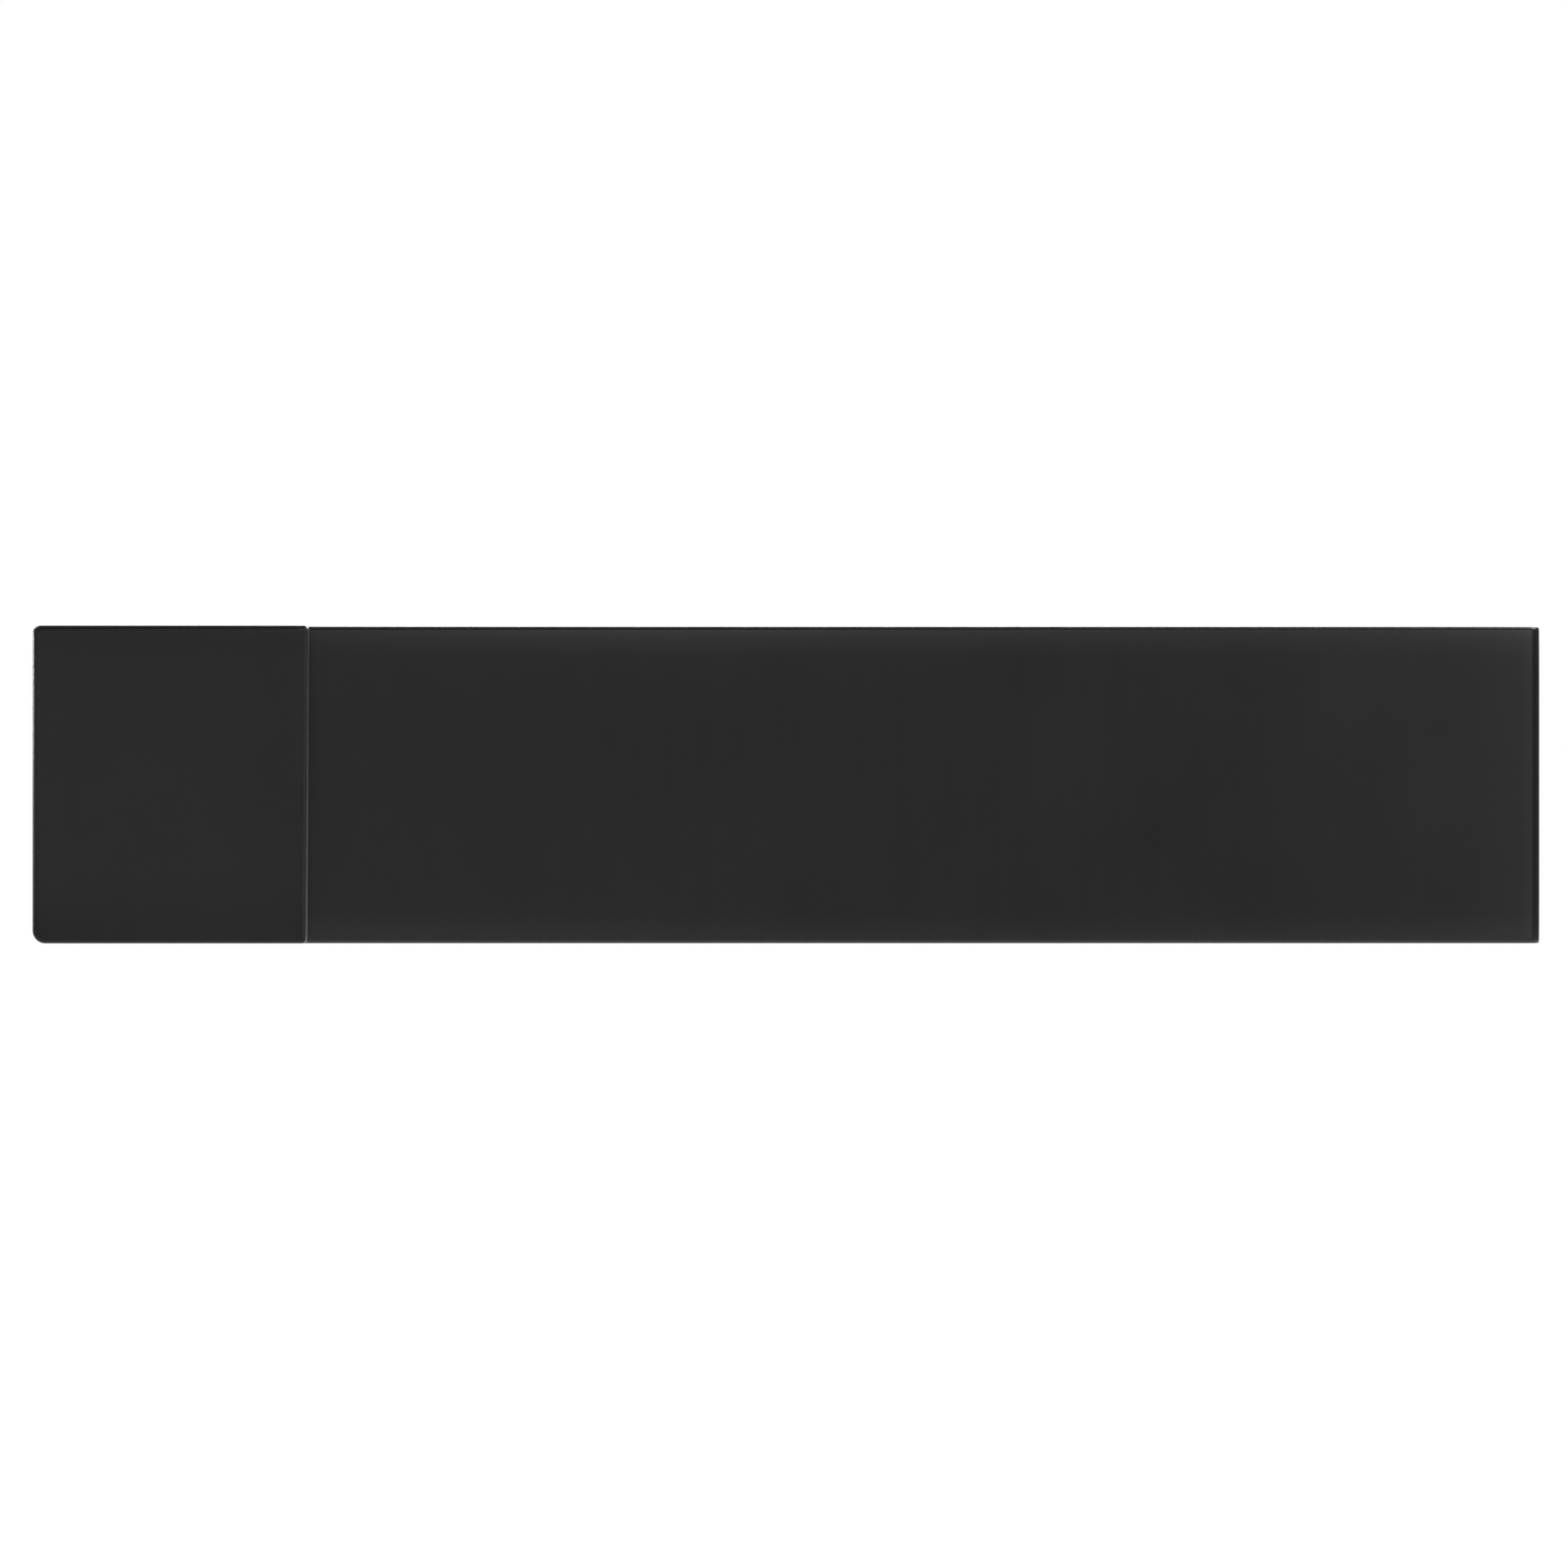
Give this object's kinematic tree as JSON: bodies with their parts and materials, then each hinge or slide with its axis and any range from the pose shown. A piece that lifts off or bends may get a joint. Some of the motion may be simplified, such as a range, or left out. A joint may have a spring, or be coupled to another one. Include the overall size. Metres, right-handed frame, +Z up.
{
  "type": "kick plate",
  "caption": "Satin black surface-mounted door kick plate: a long cover sheet hooked on to a hidden retainer, with a rounded, slightly proud end cap at its left end.",
  "frame": {"origin": "centre of the retainer's back face, which lies flat on the door", "axes": "+X along the door to the right as seen from the front, with the end cap at -X; +Y into the door; +Z up"},
  "size_m": [0.724, 0.0431, 0.1526],
  "materials": {
    "black_powder_coat": "satin black powder coat on formed steel sheet",
    "black_abs": "fine-textured moulded ABS",
    "mill_aluminium": "mill-finish extrusion",
    "zinc_steel": "bright zinc-plated steel",
    "black_epdm": "extruded EPDM strip",
    "grey_foam_tape": "acrylic foam bonding tape"
  },
  "bodies": {
    "retainer_unit": {"retainer": "mill_aluminium", "retainer_screw_1": "zinc_steel", "retainer_screw_2": "zinc_steel", "retainer_screw_3": "zinc_steel", "retainer_screw_4": "zinc_steel", "retainer_screw_5": "zinc_steel", "retainer_screw_6": "zinc_steel", "retainer_screw_7": "zinc_steel", "retainer_screw_8": "zinc_steel", "centre_cushion_1": "black_epdm", "centre_cushion_2": "black_epdm", "centre_cushion_3": "black_epdm", "lower_cushion_1": "black_epdm", "lower_cushion_2": "black_epdm", "lower_cushion_3": "black_epdm"},
    "cover": {"face_plate": "black_powder_coat", "upper_hanger": "mill_aluminium", "lower_hanger": "mill_aluminium", "upper_hanger_tape": "grey_foam_tape", "lower_hanger_tape": "grey_foam_tape"},
    "cap": {"end_cap": "black_abs"}
  },
  "joints": [
    {"name": "panel_lift", "type": "slide", "parent": "retainer_unit", "child": "cover", "axis": [0, 0, 1], "range_m": [0, 0.011]},
    {"name": "cap_pull", "type": "slide", "parent": "cover", "child": "cap", "axis": [-1, 0, 0], "range_m": [0, 0.032]}
  ]
}
